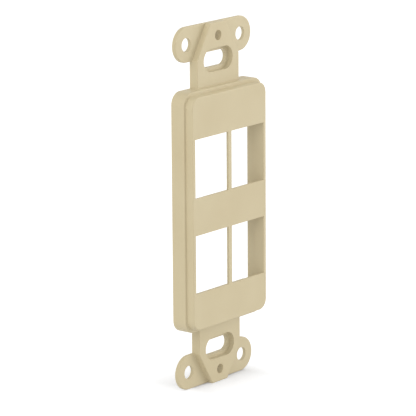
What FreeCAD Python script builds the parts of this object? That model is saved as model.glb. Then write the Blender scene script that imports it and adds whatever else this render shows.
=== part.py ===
import FreeCAD, Part
import math
import os

import Sketcher

# A decorator-style insert with four jack ports, moulded as one piece.
# X runs across the insert, Z up its length, and the front faces -Y.
# The origin is the centre of the back plane, which lies against the wall box.
# All lengths are in millimetres. They add up outwards from the ports, to a raised face
# of 33.2 by 66.5, slots for device screws 83.34 apart, as on a wall box, and holes
# for plate screws 96.84 apart, as on a decorator plate.

SIZES = (
    ("port_width", 14.8, "width of a port window"),
    ("port_height", 16.75, "height of a port window"),
    ("divider", 1.4, "width of the bar between the two ports of a row"),
    ("top_band", 11.7, "upper end of the face to the upper ports"),
    ("middle_band", 10.65, "upper ports to the lower ports"),
    ("bottom_band", 10.65, "lower ports to the lower end of the face"),
    ("face_corner", 3.0, "corner radius of the raised front face"),
    ("face_rise", 2.3, "front shelf of the flange to the front face"),
    ("face_draft", 5.0, "draft of the sides of the raised face, in degrees"),
    ("side_ledge", 1.0, "how far the flange stands out beside the face"),
    ("end_ledge", 1.15, "how far the flange stands out above and below the face"),
    ("body_depth", 4.45, "back plane to the front shelf of the flange"),
    ("body_corner", 3.6, "corner radius of the flange"),
    ("side_wall", 1.1, "thickness of the walls round the hollow body"),
    ("front_skin", 1.2, "thickness of the front face"),
    ("shelf_wall", 1.2, "thickness of the shelves above and below the ports"),
    ("rib_wall", 1.0, "thickness of the stiffening ribs"),
    ("port_relief", 0.6, "slope behind the edges of a port window"),
    ("catch_depth", 6.5, "front face to the front of a catch bar"),
    ("catch_wall", 1.6, "thickness of the catch bars that a jack hooks on"),
    ("catch_reach", 1.9, "how far a catch bar reaches past its shelf"),
    ("catch_lead", 0.4, "lead-in slope on the back edge of a catch bar"),
    ("latch_room", 2.9, "lower edge of a port window to the lower catch bar"),
    ("neck_width", 18.7, "width of the strap between body and ears"),
    ("neck_wall", 2.75, "thickness of the strap"),
    ("pad_tip", 6.8, "width of the strap's raised pad at the end of the tab"),
    ("pad_shoulder", 0.25, "inner edge of the ears to where the pad starts to narrow"),
    ("slot_reach", 7.27, "end of the flange to the centre of the device screw slot"),
    ("slot_length", 10.8, "end-to-end length of that slot"),
    ("slot_height", 4.45, "height of that slot"),
    ("slot_rim", 1.1, "edge of the slot to the edge of the recess round it"),
    ("slot_floor", 1.3, "thickness left under that recess"),
    ("plate_reach", 6.75, "centre of the slot to the plate screw hole"),
    ("plate_hole", 2.85, "diameter of the plate screw hole"),
    ("ear_reach", 5.43, "centre of the slot to the line through the ear holes"),
    ("ear_span", 24.06, "left ear hole to right ear hole"),
    ("ear_hole", 4.0, "diameter of an ear hole"),
    ("ear_radius", 5.0, "radius of an ear round its hole"),
    ("ear_wall", 1.0, "thickness of the ears"),
    ("face_round", 0.35, "rounding of the outer edge of the front face"),
    ("body_round", 0.25, "rounding of the outer edge of the flange"),
    ("tab_round", 0.3, "rounding of the edges of straps and ears"),
)

# Places that are worked out from the sizes, as expressions for the sketches.
FACE_X = "(Sizes.port_width + Sizes.divider / 2 + Sizes.side_wall)"
FACE_Y = "(Sizes.body_depth + Sizes.face_rise)"
FACE_Z = "(Sizes.port_height + (Sizes.top_band + Sizes.middle_band + Sizes.bottom_band) / 2)"
BODY_X = f"({FACE_X} + Sizes.side_ledge)"
BODY_Z = f"({FACE_Z} + Sizes.end_ledge)"
PORT_X = "((Sizes.port_width + Sizes.divider) / 2)"
UPPER_Z = f"({FACE_Z} - Sizes.top_band - Sizes.port_height / 2)"
LOWER_Z = f"(Sizes.bottom_band + Sizes.port_height / 2 - {FACE_Z})"
PORT_STEP = "(Sizes.port_height + Sizes.middle_band)"
ROOM_UP = "(Sizes.port_height / 2 + Sizes.catch_reach)"
ROOM_DOWN = f"({ROOM_UP} + Sizes.latch_room)"
SLOT_X = "((Sizes.slot_length - Sizes.slot_height) / 2)"
SLOT_Z = f"({BODY_Z} + Sizes.slot_reach)"
PLATE_Z = f"({SLOT_Z} + Sizes.plate_reach)"
EAR_X = "(Sizes.ear_span / 2)"
EAR_Z = f"({SLOT_Z} + Sizes.ear_reach)"

# Ports in a row, and rows of ports.
COLUMN_COUNT = 2
ROW_COUNT = 2

# How close two places must be to count as the same one.
TOUCH = 0.001

doc = FreeCAD.newDocument("PortInsert")


def fill_sheet():
    """The driving dimensions, one row each, with their names as aliases."""
    cells = doc.addObject("Spreadsheet::Sheet", "Sizes")
    for row, (name, size, meaning) in enumerate(SIZES, 1):
        cells.set(f"A{row}", name.replace("_", " "))
        cells.set(f"B{row}", str(size))
        cells.setAlias(f"B{row}", name)
        cells.set(f"C{row}", meaning)
    doc.recompute()
    return cells


def size_of(expression):
    """The present value of an expression, as a plain number."""
    return float(sheet.evalExpression(expression))


def origin_plane(owner, role):
    """One of the body's own origin planes."""
    return next(f for f in owner.Origin.OriginFeatures if f.Role == role)


def new_sketch(name, plane, offset=None):
    """An empty sketch on an origin plane, moved along the plane's normal by offset."""
    sketch = body.newObject("Sketcher::SketchObject", name)
    sketch.AttachmentSupport = (origin_plane(body, plane), "")
    sketch.MapMode = "FlatFace"
    if offset:
        sketch.setExpression("AttachmentOffset.Base.z", offset)
    return sketch


def bind_constraint(sketch, constraint, label, expression):
    """Add a dimension, give it a name and tie it to its expression."""
    index = sketch.addConstraint(constraint)
    sketch.renameConstraint(index, label)
    sketch.setExpression(f"Constraints.{label}", expression)


def place_point(sketch, geometry, point, label, x, y):
    """Tie a point of the sketch to its two coordinates."""
    for axis, letter, expression in (("DistanceX", "x", x), ("DistanceY", "y", y)):
        distance = Sketcher.Constraint(axis, -1, 1, geometry, point, size_of(expression))
        bind_constraint(sketch, distance, f"{label}_{letter}", expression)


def add_polygon(sketch, corners):
    """A closed outline through corners, each a pair of expressions."""
    points = [FreeCAD.Vector(size_of(x), size_of(y), 0) for x, y in corners]
    first = sketch.GeometryCount
    for start, end in zip(points, points[1:] + points[:1]):
        sketch.addGeometry(Part.LineSegment(start, end), False)
    for number, (x, y) in enumerate(corners):
        line = first + number
        before = first + (number - 1) % len(corners)
        sketch.addConstraint(Sketcher.Constraint("Coincident", before, 2, line, 1))
        place_point(sketch, line, 1, f"corner{line}", x, y)


def add_rectangle(sketch, left, right, bottom, top):
    """An upright rectangle between four expressions."""
    add_polygon(sketch, ((left, bottom), (right, bottom), (right, top), (left, top)))


def add_round_rectangle(sketch, half_width, half_height, radius):
    """An upright rectangle about the origin, with round corners."""
    size = size_of(radius)
    reach, level = size_of(half_width) - size, size_of(half_height) - size
    quarter = math.pi / 2
    corners = []
    for number, (side, way) in enumerate(((1, 1), (-1, 1), (-1, -1), (1, -1))):
        centre = FreeCAD.Vector(side * reach, way * level, 0)
        circle = Part.Circle(centre, FreeCAD.Vector(0, 0, 1), size)
        arc = Part.ArcOfCircle(circle, number * quarter, (number + 1) * quarter)
        corners.append((sketch.addGeometry(arc, False), arc, side, way))
    for (before, first, *_), (after, second, *_) in zip(corners, corners[1:] + corners[:1]):
        line = sketch.addGeometry(Part.LineSegment(first.EndPoint, second.StartPoint), False)
        sketch.addConstraint(Sketcher.Constraint("Tangent", before, 2, line, 1))
        sketch.addConstraint(Sketcher.Constraint("Tangent", line, 2, after, 1))
    lead = corners[0][0]
    bind_constraint(sketch, Sketcher.Constraint("Radius", lead, size), "corner_radius", radius)
    for corner, _, side, way in corners:
        if corner != lead:
            sketch.addConstraint(Sketcher.Constraint("Equal", lead, corner))
        x, z = f"{side} * ({half_width} - {radius})", f"{way} * ({half_height} - {radius})"
        place_point(sketch, corner, 3, f"corner{corner}", x, z)


def add_obround(sketch, half_span, height, radius):
    """A long round-ended outline whose end centres lie half_span either side of the middle."""
    reach, level, size = size_of(half_span), size_of(height), size_of(radius)
    ends = []
    for side, start in ((1, -math.pi / 2), (-1, math.pi / 2)):
        centre = FreeCAD.Vector(side * reach, level, 0)
        circle = Part.Circle(centre, FreeCAD.Vector(0, 0, 1), size)
        ends.append(sketch.addGeometry(Part.ArcOfCircle(circle, start, start + math.pi), False))
    right, left = ends
    sides = []
    for way in (1, -1):
        start = FreeCAD.Vector(way * reach, level + way * size, 0)
        end = FreeCAD.Vector(-way * reach, level + way * size, 0)
        sides.append(sketch.addGeometry(Part.LineSegment(start, end), False))
    top, bottom = sides
    for before, after in ((right, top), (top, left), (left, bottom), (bottom, right)):
        sketch.addConstraint(Sketcher.Constraint("Tangent", before, 2, after, 1))
    sketch.addConstraint(Sketcher.Constraint("Equal", right, left))
    rounding = Sketcher.Constraint("Radius", right, size)
    bind_constraint(sketch, rounding, f"end{right}_radius", radius)
    place_point(sketch, right, 3, "right_end", half_span, height)
    place_point(sketch, left, 3, "left_end", f"-({half_span})", height)


def add_circle(sketch, x, y, diameter):
    """A circle tied to its centre and its diameter."""
    centre = FreeCAD.Vector(size_of(x), size_of(y), 0)
    circle = Part.Circle(centre, FreeCAD.Vector(0, 0, 1), size_of(diameter) / 2)
    number = sketch.addGeometry(circle, False)
    round_size = Sketcher.Constraint("Diameter", number, size_of(diameter))
    bind_constraint(sketch, round_size, f"circle{number}_diameter", diameter)
    place_point(sketch, number, 3, f"circle{number}", x, y)


def pad(name, sketch, length, middle=False, draft=None):
    """Raise a sketch to the front, to both sides of its plane, or with a draft to the back."""
    feature = body.newObject("PartDesign::Pad", name)
    feature.Profile = sketch
    feature.setExpression("Length", length)
    feature.SideType = "Symmetric" if middle else "One side"
    if draft:
        feature.Reversed = True
        feature.setExpression("TaperAngle", draft)
    return settle(feature, 1)


def pocket(name, sketch, length, forward=False):
    """Cut a sketch out of the material, towards the front if forward, or else to the back."""
    feature = body.newObject("PartDesign::Pocket", name)
    feature.Profile = sketch
    feature.setExpression("Length", length)
    feature.Reversed = forward
    return settle(feature, -1)


def settle(feature, sign):
    """Recompute, and check that the body's volume went up (1) or down (-1)."""
    before = volumes[-1]
    doc.recompute()
    after = feature.Shape.Volume
    if (after - before) * sign <= 0:
        raise ValueError(f"{feature.Label} changed the volume from {before:.2f} to {after:.2f}")
    volumes.append(after)
    return feature


def dress(kind, name, base, edges, expression):
    """A fillet or chamfer on the named edges of the base feature."""
    if not edges:
        raise ValueError(f"{name} found no edges")
    feature = body.newObject(f"PartDesign::{kind}", name)
    feature.Base = (base, edges)
    feature.setExpression("Radius" if kind == "Fillet" else "Size", expression)
    doc.recompute()
    volumes.append(feature.Shape.Volume)
    return feature


def edge_names(feature, accept):
    """Names of the feature's edges that accept takes."""
    return [f"Edge{number}" for number, edge in enumerate(feature.Shape.Edges, 1) if accept(edge)]


def corner_edges(feature, x, z):
    """The edges that run from front to back at the four corners of a rectangle."""
    half_width, half_height = size_of(x), size_of(z)

    def at_corner(edge):
        box = edge.BoundBox
        if box.XLength > TOUCH or box.ZLength > TOUCH:
            return False
        centre = box.Center
        return math.isclose(abs(centre.x), half_width, abs_tol=TOUCH) and math.isclose(
            abs(centre.z), half_height, abs_tol=TOUCH
        )

    return edge_names(feature, at_corner)


def rim_edges(feature, depth):
    """The outer edges of the faces at this depth, where the next face turns to the back."""
    level = -size_of(depth)
    shape = feature.Shape
    rims = []
    for face in shape.Faces:
        box = face.BoundBox
        if abs(box.YMin - level) < TOUCH and abs(box.YMax - level) < TOUCH:
            rims.extend(face.OuterWire.Edges)

    def turns_back(edge):
        if not any(edge.isSame(rim) for rim in rims):
            return False
        sides = shape.ancestorsOfType(edge, Part.Face)
        return all(side.BoundBox.YMin > level - TOUCH for side in sides)

    return edge_names(feature, turns_back)


def window_edges(feature):
    """The edges behind the port windows, apart from those that meet the side walls."""
    level = size_of(f"Sizes.front_skin - {FACE_Y}")
    half_gap = size_of("Sizes.divider / 2")
    width, height = size_of("Sizes.port_width"), size_of("Sizes.port_height")

    def behind_window(edge):
        box = edge.BoundBox
        if abs(box.YMin - level) > TOUCH or abs(box.YMax - level) > TOUCH:
            return False
        across = abs(box.XLength - width) < TOUCH and box.ZLength < TOUCH
        upright = abs(box.ZLength - height) < TOUCH and abs(abs(box.Center.x) - half_gap) < TOUCH
        return across or upright

    return edge_names(feature, behind_window)


def build_block():
    """The flange and the raised face in front of it, whose sides widen to the back."""
    flange = new_sketch("FlangeOutline", "XZ_Plane")
    add_round_rectangle(flange, BODY_X, BODY_Z, "Sizes.body_corner")
    pad("Flange", flange, "Sizes.body_depth")
    raised = new_sketch("FaceOutline", "XZ_Plane", FACE_Y)
    add_round_rectangle(raised, FACE_X, FACE_Z, "Sizes.face_corner")
    return pad("RaisedFace", raised, FACE_Y, draft="Sizes.face_draft")


def hollow_bands(end):
    """Lower and upper edge of each hollow on the back, up to the end wall's inner side."""
    shelf = "Sizes.shelf_wall"
    return (
        (f"-{end}", f"{LOWER_Z} - {ROOM_DOWN} - {shelf}", True),
        (f"{LOWER_Z} - {ROOM_DOWN}", f"{LOWER_Z} + {ROOM_UP}", False),
        (f"{LOWER_Z} + {ROOM_UP} + {shelf}", f"{UPPER_Z} - {ROOM_DOWN} - {shelf}", False),
        (f"{UPPER_Z} - {ROOM_DOWN}", f"{UPPER_Z} + {ROOM_UP}", False),
        (f"{UPPER_Z} + {ROOM_UP} + {shelf}", end, True),
    )


def hollow_out(name, x, z, depth, corner):
    """One level of the hollows behind the face, with ribs across the two end hollows."""
    inner_x, inner_z = f"({x} - Sizes.side_wall)", f"({z} - Sizes.side_wall)"
    rib_left, rib_right = f"({PORT_X} - Sizes.rib_wall / 2)", f"({PORT_X} + Sizes.rib_wall / 2)"
    sketch = new_sketch(f"{name}Outline", "XZ_Plane")
    for bottom, top, ribbed in hollow_bands(inner_z):
        if ribbed:
            add_rectangle(sketch, f"-{inner_x}", f"-{rib_right}", bottom, top)
            add_rectangle(sketch, f"-{rib_left}", rib_left, bottom, top)
            add_rectangle(sketch, rib_right, inner_x, bottom, top)
        else:
            add_rectangle(sketch, f"-{inner_x}", inner_x, bottom, top)
    cut = pocket(name, sketch, depth, forward=True)
    return dress("Fillet", f"{name}Corners", cut, corner_edges(cut, inner_x, inner_z), corner)


def build_hollows():
    """The body is hollow from the back, in two steps that follow its outside."""
    hollow_out("FlangeHollow", BODY_X, BODY_Z, "Sizes.body_depth - Sizes.side_wall",
               "Sizes.body_corner - Sizes.side_wall")
    return hollow_out("FaceHollow", FACE_X, FACE_Z, f"{FACE_Y} - Sizes.front_skin",
                      "Sizes.face_corner - Sizes.side_wall")


def build_windows():
    """Four port windows, two across and two up, with sloped edges behind."""
    sketch = new_sketch("PortWindowOutline", "XZ_Plane", FACE_Y)
    left, right = f"-{PORT_X} - Sizes.port_width / 2", f"-{PORT_X} + Sizes.port_width / 2"
    bottom, top = f"{LOWER_Z} - Sizes.port_height / 2", f"{LOWER_Z} + Sizes.port_height / 2"
    add_rectangle(sketch, left, right, bottom, top)
    window = pocket("PortWindow", sketch, "Sizes.front_skin")
    pattern = body.newObject("PartDesign::LinearPattern", "PortWindows")
    pattern.Originals = [window]
    pattern.Direction = (sketch, ["H_Axis"])
    pattern.Occurrences = COLUMN_COUNT
    pattern.setExpression("Length", f"2 * {PORT_X}")
    pattern.Direction2 = (sketch, ["V_Axis"])
    pattern.Occurrences2 = ROW_COUNT
    pattern.setExpression("Length2", PORT_STEP)
    body.Tip = pattern
    settle(pattern, -1)
    return dress("Chamfer", "WindowRelief", pattern, window_edges(pattern), "Sizes.port_relief")


def build_catches():
    """The bars behind each row of ports that a jack's lug and latch hook on."""
    root = "-(Sizes.body_depth / 2)"
    front = f"(Sizes.catch_depth - {FACE_Y})"
    back = f"({front} + Sizes.catch_wall)"
    sketch = new_sketch("CatchProfile", "YZ_Plane")
    for way, tip in (("-", f"({LOWER_Z} - Sizes.port_height / 2 - Sizes.latch_room)"),
                     ("+", f"({LOWER_Z} + Sizes.port_height / 2)")):
        inside = f"({tip} {way} Sizes.catch_reach)"
        outside = f"({inside} {way} Sizes.shelf_wall)"
        slope = ((back, f"{tip} {way} Sizes.catch_lead"), (f"{back} - Sizes.catch_lead", tip))
        corners = ((root, outside), (back, outside), *slope, (front, tip), (front, inside), (root, inside))
        add_polygon(sketch, corners)
    bars = pad("CatchBars", sketch, f"2 * ({FACE_X} - Sizes.side_wall)", middle=True)
    pattern = body.newObject("PartDesign::LinearPattern", "CatchBarRows")
    pattern.Originals = [bars]
    pattern.Direction = (sketch, ["V_Axis"])
    pattern.Occurrences = ROW_COUNT
    pattern.setExpression("Length", PORT_STEP)
    body.Tip = pattern
    return settle(pattern, 1)


def build_tabs():
    """The strap and its two ears at the top, and their mirror image at the bottom."""
    inner_z = f"({EAR_Z} - Sizes.ear_radius + Sizes.pad_shoulder)"
    outer_z = f"({EAR_Z} + Sizes.ear_radius)"
    root_z = f"({BODY_Z} - Sizes.side_wall / 2)"
    neck_x, tip_x = "Sizes.neck_width / 2", "Sizes.pad_tip / 2"
    strap = new_sketch("StrapOutline", "XZ_Plane")
    right_side = ((neck_x, root_z), (neck_x, inner_z), (tip_x, outer_z))
    left_side = tuple((f"-{x}", z) for x, z in reversed(right_side))
    add_polygon(strap, right_side + left_side)
    features = [pad("Strap", strap, "Sizes.neck_wall")]
    ears = new_sketch("EarsOutline", "XZ_Plane")
    add_obround(ears, EAR_X, EAR_Z, "Sizes.ear_radius")
    features.append(pad("Ears", ears, "Sizes.ear_wall"))
    recess = new_sketch("SlotRecessOutline", "XZ_Plane", "Sizes.neck_wall")
    add_obround(recess, SLOT_X, SLOT_Z, "Sizes.slot_height / 2 + Sizes.slot_rim")
    features.append(pocket("SlotRecess", recess, "Sizes.neck_wall - Sizes.slot_floor"))
    slot = new_sketch("SlotOutline", "XZ_Plane", "Sizes.neck_wall")
    add_obround(slot, SLOT_X, SLOT_Z, "Sizes.slot_height / 2")
    features.append(pocket("Slot", slot, "Sizes.neck_wall"))
    holes = new_sketch("HoleCentres", "XZ_Plane", "Sizes.neck_wall")
    add_circle(holes, EAR_X, EAR_Z, "Sizes.ear_hole")
    add_circle(holes, f"-{EAR_X}", EAR_Z, "Sizes.ear_hole")
    add_circle(holes, "0", PLATE_Z, "Sizes.plate_hole")
    features.append(pocket("TabHoles", holes, "Sizes.neck_wall"))
    mirror = body.newObject("PartDesign::Mirrored", "LowerTab")
    mirror.Originals = features
    mirror.MirrorPlane = (origin_plane(body, "XY_Plane"), [""])
    body.Tip = mirror
    return settle(mirror, 1)


def round_edges(feature):
    """Small roundings on the front edges, as the mould leaves them."""
    for name, depth, radius in (("FaceEdge", FACE_Y, "Sizes.face_round"),
                                ("FlangeEdge", "Sizes.body_depth", "Sizes.body_round"),
                                ("StrapEdge", "Sizes.neck_wall", "Sizes.tab_round"),
                                ("EarEdge", "Sizes.ear_wall", "Sizes.tab_round")):
        feature = dress("Fillet", name, feature, rim_edges(feature, depth), radius)
    return feature


def check_document():
    """Stop if any object failed, or if the part isn't one sound solid."""
    for item in doc.Objects:
        if {"Invalid", "Error"} & set(item.State):
            raise ValueError(f"{item.Label} failed: {item.State}")
    shape = body.Shape
    if shape.isNull() or not shape.isValid() or len(shape.Solids) != 1:
        raise ValueError(f"{body.Label} isn't one valid solid")


def export_part():
    """Write the insert to its STEP file."""
    os.makedirs("parts", exist_ok=True)
    body.Shape.exportStep(f"parts/{body.Label}.step")


sheet = fill_sheet()
body = doc.addObject("PartDesign::Body", "PortInsertBody")
body.Label = "port_insert"
volumes = [0.0]
build_block()
build_hollows()
build_windows()
build_catches()
round_edges(build_tabs())
doc.recompute()
check_document()
export_part()
print(f"{body.Label}: {body.Shape.Volume:.1f} mm3, {len(body.Shape.Faces)} faces")
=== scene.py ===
import math

import bpy
from mathutils import Matrix, Vector


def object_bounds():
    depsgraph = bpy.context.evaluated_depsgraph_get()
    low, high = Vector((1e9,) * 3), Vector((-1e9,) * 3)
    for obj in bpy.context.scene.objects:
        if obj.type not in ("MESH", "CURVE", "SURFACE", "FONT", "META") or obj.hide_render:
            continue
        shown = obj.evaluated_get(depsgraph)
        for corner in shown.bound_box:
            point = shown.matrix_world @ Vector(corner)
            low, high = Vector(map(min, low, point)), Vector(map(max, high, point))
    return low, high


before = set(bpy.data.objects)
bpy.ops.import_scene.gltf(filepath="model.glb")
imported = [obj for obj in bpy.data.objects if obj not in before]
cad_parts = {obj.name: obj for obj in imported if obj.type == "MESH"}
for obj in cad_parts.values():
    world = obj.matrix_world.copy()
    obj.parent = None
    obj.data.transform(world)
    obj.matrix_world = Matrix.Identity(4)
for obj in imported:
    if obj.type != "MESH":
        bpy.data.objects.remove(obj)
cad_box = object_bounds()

bl_info = {
    "name": "Jack Port Insert",
    "version": (1, 0, 0),
    "blender": (4, 5, 0),
    "location": "3D View > Sidebar > Insert",
    "description": "Finishes a moulded insert for snap-in jacks and sets it on a pale studio floor",
    "category": "Object",
}

MM = 0.001
NODE = "port_insert"
FRAME_PIXELS = 416
SENSOR = 36.0
CLIP_START = 10 * MM
CLOUD_SIZE = 14 * MM
GLOSS_SPREAD = 0.06
ABS_IOR = 1.54
FLOOR_SIDES = 64
KEY_PLACE = (0.98, -0.74, 0.22)
FILL_PLACE = (-1.0, -0.18, 0.73)

# The Mix node has a set of sockets for each kind of value, and these are the ones for colours.
MIX_FIRST, MIX_SECOND, MIXED = 6, 7, 2


def linear(hex_colour):
    """An sRGB hex colour as linear red, green, blue and alpha."""
    channels = [int(hex_colour[start:start + 2], 16) / 255 for start in (1, 3, 5)]
    return (*(c / 12.92 if c <= 0.04045 else ((c + 0.055) / 1.055) ** 2.4 for c in channels), 1.0)


def add_node(tree, kind, inputs=None, **settings):
    """Add a node, set its properties, and set or link its inputs."""
    node = tree.nodes.new(kind)
    for name, value in settings.items():
        setattr(node, name, value)
    for name, value in (inputs or {}).items():
        if isinstance(value, bpy.types.NodeSocket):
            tree.links.new(value, node.inputs[name])
        else:
            node.inputs[name].default_value = value
    return node


def empty_tree(owner):
    """The node tree of a material or a world, with nothing in it."""
    owner.use_nodes = True
    owner.node_tree.nodes.clear()
    return owner.node_tree


class MouldingSettings(bpy.types.PropertyGroup):
    """Colour and surface of the moulded plastic."""

    colour: bpy.props.FloatVectorProperty(
        name="Plastic colour", description="Colour of the ivory plastic", subtype="COLOR",
        size=4, min=0.0, max=1.0, default=linear("#E1D2AB"))
    cloud_colour: bpy.props.FloatVectorProperty(
        name="Cloud colour", description="Slightly deeper colour where the melt flowed slower",
        subtype="COLOR", size=4, min=0.0, max=1.0, default=linear("#DDCDA5"))
    # Painted shade: the greyer colour that light bounced off the plastic takes, instead of the
    # ivory.
    painted_shade_colour: bpy.props.FloatVectorProperty(
        name="Shade colour", subtype="COLOR", size=4, min=0.0, max=1.0, default=linear("#D6D1C8"),
        description="Paler tint of the light that the plastic throws on its corners")
    gloss: bpy.props.FloatProperty(
        name="Roughness", description="Roughness of the satin surface", subtype="FACTOR",
        min=0.0, max=1.0, default=0.48)
    grain: bpy.props.FloatProperty(
        name="Grain size", description="Size of one grain of the mould's matt texture",
        unit="LENGTH", min=0.00005, default=0.3 * MM)
    grain_depth: bpy.props.FloatProperty(
        name="Grain depth", description="Depth of that texture", unit="LENGTH",
        min=0.0, default=0.012 * MM)


class StudioSettings(bpy.types.PropertyGroup):
    """Floor, lights and camera."""

    floor_radius: bpy.props.FloatProperty(
        name="Floor radius", description="Radius of the pale floor", unit="LENGTH", default=4.0)
    ambient: bpy.props.FloatProperty(
        name="Room light", description="Strength of the even light from all round", default=0.49)
    key_power: bpy.props.FloatProperty(
        name="Key lamp", description="Power of the low soft lamp at the front right",
        unit="POWER", default=6.6)
    fill_power: bpy.props.FloatProperty(
        name="Fill lamp", description="Power of the high soft lamp at the left",
        unit="POWER", default=5.8)
    key_size: bpy.props.FloatProperty(
        name="Key size", description="Width of the lamp at the front right",
        unit="LENGTH", default=0.9)
    fill_size: bpy.props.FloatProperty(
        name="Fill size", description="Width of the lamp at the left", unit="LENGTH", default=1.2)
    # Painted light: added white on the floor that hides the floor's real shadow away from the
    # insert's foot.
    floor_glow: bpy.props.FloatProperty(
        name="Floor glow", description="Added white of the floor away from the insert",
        min=0.0, max=1.0, default=0.6)
    foot_width: bpy.props.FloatProperty(
        name="Foot width", description="Width of the strip on the floor that has no added white",
        unit="LENGTH", default=23 * MM)
    foot_depth: bpy.props.FloatProperty(
        name="Foot depth", description="Depth of that strip, from front to back",
        unit="LENGTH", default=2.8 * MM)
    shadow_reach: bpy.props.FloatProperty(
        name="Shadow reach", unit="LENGTH", default=30 * MM,
        description="Distance from the strip at which the floor is at its whitest")
    # Painted shadow: how fast, how fast sideways and where the contact shadow fades is set by the
    # painted white.
    painted_shadow_fade: bpy.props.FloatProperty(
        name="Shadow fade", description="Below 1, the contact shadow fades fast at first",
        min=0.1, max=1.0, default=0.33)
    painted_shadow_side: bpy.props.FloatProperty(
        name="Side fade", min=1.0, default=2.5,
        description="How many times faster the shadow fades to the sides than to the front")
    shadow_shift: bpy.props.FloatProperty(
        name="Shadow shift", unit="LENGTH", default=1.5 * MM,
        description="How far the contact shadow lies to the right of the insert's middle")
    azimuth: bpy.props.FloatProperty(
        name="Camera azimuth", description="How far round to the left the camera stands",
        unit="ROTATION", default=math.radians(51.233))
    elevation: bpy.props.FloatProperty(
        name="Camera elevation", description="How far above the horizon the camera stands",
        unit="ROTATION", default=math.radians(13.217))
    roll: bpy.props.FloatProperty(
        name="Camera roll", description="Tilt of the camera about its line of sight",
        unit="ROTATION", default=math.radians(-0.392))
    distance: bpy.props.FloatProperty(
        name="Camera distance", description="Camera to the centre of the insert",
        unit="LENGTH", default=818.08 * MM)
    aim_right: bpy.props.FloatProperty(
        name="Aim right", description="How far the insert's centre lies right of the picture's",
        unit="LENGTH", default=1.024 * MM)
    aim_up: bpy.props.FloatProperty(
        name="Aim up", description="How far the insert's centre lies above the picture's",
        unit="LENGTH", default=1.511 * MM)
    focal_pixels: bpy.props.FloatProperty(
        name="Focal length", description="Focal length in pixels of the square picture",
        default=2886.27)


def moulded_abs(settings):
    """Ivory ABS, injection moulded.

    The pigment runs right through it, so the colour is even, with only faint clouds where the
    melt flowed slower. The mould was spark eroded, which leaves a fine even grain and a satin
    gloss. The real grain is near 0.05 mm. It is drawn coarser here, so that it shows close up.
    The grain scatters part of the light before it reaches the pigment, so corners shade to a
    Light that the plastic throws on its corners or on the floor is painted a paler grey instead
    of the plastic's own colour, so shade in corners is a painted greyer ivory, and light that
    the plastic throws on them or on the floor has little tint.
    """
    material = bpy.data.materials.new("ivory_moulded_abs")
    tree = empty_tree(material)
    place = add_node(tree, "ShaderNodeTexCoord").outputs["Object"]
    clouds = add_node(tree, "ShaderNodeTexNoise", {
        "Vector": place, "Scale": 1 / CLOUD_SIZE, "Detail": 2.0, "Roughness": 0.4})
    cloud_share = add_node(tree, "ShaderNodeMapRange", {
        "Value": clouds.outputs["Fac"], "From Min": 0.35, "From Max": 0.65})
    colour = add_node(tree, "ShaderNodeMix", {
        "Factor": cloud_share.outputs["Result"],
        MIX_FIRST: settings.colour, MIX_SECOND: settings.cloud_colour}, data_type="RGBA")
    # Painted shade: bounced light takes the paler shade colour, so corners and the floor near the
    # insert shade greyer.
    thrown = add_node(tree, "ShaderNodeLightPath").outputs["Is Diffuse Ray"]
    tint = add_node(tree, "ShaderNodeMix", {
        "Factor": thrown, MIX_FIRST: colour.outputs[MIXED], MIX_SECOND: settings.painted_shade_colour},
        data_type="RGBA")
    grain = add_node(tree, "ShaderNodeTexNoise", {
        "Vector": place, "Scale": 1 / settings.grain, "Detail": 1.0, "Roughness": 0.5})
    roughness = add_node(tree, "ShaderNodeMapRange", {
        "Value": grain.outputs["Fac"],
        "To Min": settings.gloss - GLOSS_SPREAD, "To Max": settings.gloss + GLOSS_SPREAD})
    bump = add_node(tree, "ShaderNodeBump", {
        "Height": grain.outputs["Fac"], "Strength": 1.0, "Distance": settings.grain_depth})
    shader = add_node(tree, "ShaderNodeBsdfPrincipled", {
        "Base Color": tint.outputs[MIXED], "Roughness": roughness.outputs["Result"],
        "Normal": bump.outputs["Normal"], "IOR": ABS_IOR})
    add_node(tree, "ShaderNodeOutputMaterial", {"Surface": shader.outputs["BSDF"]})
    return material


def background_rays(tree):
    """1 where the camera, a reflection or clear material looks, and 0 where light is gathered."""
    path = add_node(tree, "ShaderNodeLightPath")
    seen = path.outputs["Is Camera Ray"]
    for ray in ("Is Glossy Ray", "Is Transmission Ray"):
        either = add_node(tree, "ShaderNodeMath", {0: seen, 1: path.outputs[ray]},
                          operation="MAXIMUM")
        seen = either.outputs["Value"]
    return seen


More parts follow.
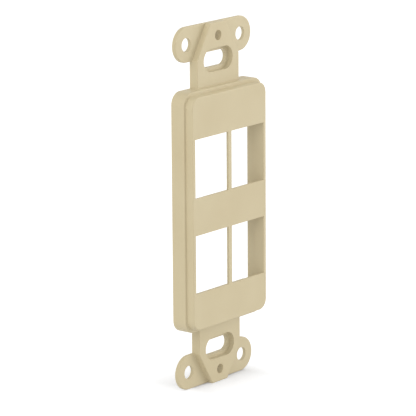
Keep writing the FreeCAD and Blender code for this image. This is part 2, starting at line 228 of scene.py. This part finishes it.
def pale_floor(settings):
    """Matt white board, with an added white that lights nothing.

    That white is nil in a strip at the foot of the insert, so that the real contact shadow shows
    there. It rises with the distance from the strip, faster to the sides than to the front, and
    is full where the board runs into the white background, so the shadow's fast fade is painted.
    """
    material = bpy.data.materials.new("matt_white_board")
    tree = empty_tree(material)
    board = add_node(tree, "ShaderNodeBsdfDiffuse", {"Color": linear("#F0F0F0")})
    place = add_node(tree, "ShaderNodeTexCoord").outputs["Object"]
    across = add_node(tree, "ShaderNodeVectorMath", {0: place}, operation="ABSOLUTE")
    past_foot = add_node(tree, "ShaderNodeVectorMath", {
        0: across.outputs["Vector"], 1: (settings.painted_shadow_side, 1, 1),
        2: (-settings.painted_shadow_side * settings.foot_width / 2, -settings.foot_depth / 2, 0)},
        operation="MULTIPLY_ADD")
    outside = add_node(tree, "ShaderNodeVectorMath", {0: past_foot.outputs["Vector"]},
                       operation="MAXIMUM")
    gap = add_node(tree, "ShaderNodeVectorMath", {0: outside.outputs["Vector"]}, operation="LENGTH")
    share = add_node(tree, "ShaderNodeMapRange", {
        "Value": gap.outputs["Value"], "From Max": settings.shadow_reach})
    rise = add_node(tree, "ShaderNodeMath", {0: share.outputs["Result"], 1: settings.painted_shadow_fade},
                    operation="POWER")
    strength = add_node(tree, "ShaderNodeMath", {0: rise.outputs["Value"], 1: settings.floor_glow},
                        operation="MULTIPLY")
    # Painted light: white that lights nothing and fades out the real shadow away from the foot.
    glow = add_node(tree, "ShaderNodeEmission", {
        "Color": linear("#FFFFFF"), "Strength": strength.outputs["Value"]})
    lit = add_node(tree, "ShaderNodeAddShader", {
        0: board.outputs["BSDF"], 1: glow.outputs["Emission"]})
    seen = add_node(tree, "ShaderNodeMixShader", {
        0: background_rays(tree), 1: board.outputs["BSDF"], 2: lit.outputs["Shader"]})
    add_node(tree, "ShaderNodeOutputMaterial", {"Surface": seen.outputs["Shader"]})
    return material


def light_world(strength):
    """Even room light, with a white background for what the camera and gloss see."""
    world = bpy.data.worlds.new("studio_room")
    bpy.context.scene.world = world
    tree = empty_tree(world)
    level = add_node(tree, "ShaderNodeMapRange", {
        "Value": background_rays(tree), "To Min": strength, "To Max": 1.0})
    background = add_node(tree, "ShaderNodeBackground", {
        "Color": linear("#FFFFFF"), "Strength": level.outputs["Result"]})
    add_node(tree, "ShaderNodeOutputWorld", {"Surface": background.outputs["Background"]})


def add_lamp(name, place, power, size):
    """A square soft lamp at a place, aimed at the middle of the insert."""
    bpy.ops.object.light_add(type="AREA", location=place)
    lamp = bpy.context.object
    lamp.name = name
    lamp.rotation_euler = (-Vector(place)).to_track_quat("-Z", "Y").to_euler()
    lamp.data.energy = power
    lamp.data.size = size


class INSERT_OT_finish_moulding(bpy.types.Operator):
    """Give the moulded insert its ivory ABS finish"""

    bl_idname = "insert.finish_moulding"
    bl_label = "Finish the Moulding"

    def execute(self, context):
        material = moulded_abs(context.scene.insert_moulding)
        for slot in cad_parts[NODE].material_slots:
            slot.material = material
        return {"FINISHED"}


class INSERT_OT_set_stage(bpy.types.Operator):
    """Lay the pale floor under the insert and light it softly"""

    bl_idname = "insert.set_stage"
    bl_label = "Set the Stage"

    def execute(self, context):
        settings = context.scene.insert_studio
        bpy.ops.mesh.primitive_circle_add(
            vertices=FLOOR_SIDES, radius=settings.floor_radius, fill_type="NGON",
            location=(settings.shadow_shift, 0, cad_box[0][2]))
        floor = context.object
        floor.name = "studio_floor"
        floor.data.materials.append(pale_floor(settings))
        light_world(settings.ambient)
        add_lamp("key_lamp", KEY_PLACE, settings.key_power, settings.key_size)
        add_lamp("fill_lamp", FILL_PLACE, settings.fill_power, settings.fill_size)
        return {"FINISHED"}


class INSERT_OT_place_camera(bpy.types.Operator):
    """Place the camera at the picture's viewing angle"""

    bl_idname = "insert.place_camera"
    bl_label = "Place the Camera"

    def execute(self, context):
        settings = context.scene.insert_studio
        turn, rise, roll = settings.azimuth, settings.elevation, settings.roll
        ahead = Vector((math.sin(turn), math.cos(turn), 0))
        sight = math.cos(rise) * ahead - math.sin(rise) * Vector((0, 0, 1))
        level = Vector((math.cos(turn), -math.sin(turn), 0))
        upright = level.cross(sight)
        right = math.cos(roll) * level + math.sin(roll) * upright
        up = math.cos(roll) * upright - math.sin(roll) * level
        bpy.ops.object.camera_add()
        camera = context.object
        camera.name = "photo_camera"
        turned = Matrix((right, up, -sight)).transposed().to_4x4()
        place = -settings.aim_right * right - settings.aim_up * up - settings.distance * sight
        camera.matrix_world = Matrix.Translation(place) @ turned
        camera.data.sensor_width = SENSOR
        camera.data.lens = settings.focal_pixels / FRAME_PIXELS * SENSOR
        camera.data.clip_start = CLIP_START
        context.scene.camera = camera
        context.scene.view_settings.view_transform = "Standard"
        return {"FINISHED"}


class INSERT_PT_sidebar(bpy.types.Panel):
    """Buttons and settings of the insert"""

    bl_idname = "INSERT_PT_sidebar"
    bl_label = "Jack Port Insert"
    bl_space_type = "VIEW_3D"
    bl_region_type = "UI"
    bl_category = "Insert"

    def draw(self, context):
        for settings in (context.scene.insert_moulding, context.scene.insert_studio):
            for name in settings.__annotations__:
                self.layout.prop(settings, name)
        for operator in OPERATORS:
            self.layout.operator(operator.bl_idname)


OPERATORS = (INSERT_OT_finish_moulding, INSERT_OT_set_stage, INSERT_OT_place_camera)
CLASSES = (MouldingSettings, StudioSettings, *OPERATORS, INSERT_PT_sidebar)


def register():
    """Register the classes and hang their settings on the scene."""
    for cls in CLASSES:
        bpy.utils.register_class(cls)
    bpy.types.Scene.insert_moulding = bpy.props.PointerProperty(type=MouldingSettings)
    bpy.types.Scene.insert_studio = bpy.props.PointerProperty(type=StudioSettings)


def unregister():
    """Take the settings and the classes away again."""
    del bpy.types.Scene.insert_studio
    del bpy.types.Scene.insert_moulding
    for cls in reversed(CLASSES):
        bpy.utils.unregister_class(cls)


def main():
    """Register the add-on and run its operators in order."""
    register()
    bpy.ops.object.select_all(action="DESELECT")
    bpy.ops.insert.finish_moulding()
    bpy.ops.insert.set_stage()
    bpy.ops.insert.place_camera()


if __name__ == "__main__":
    main()
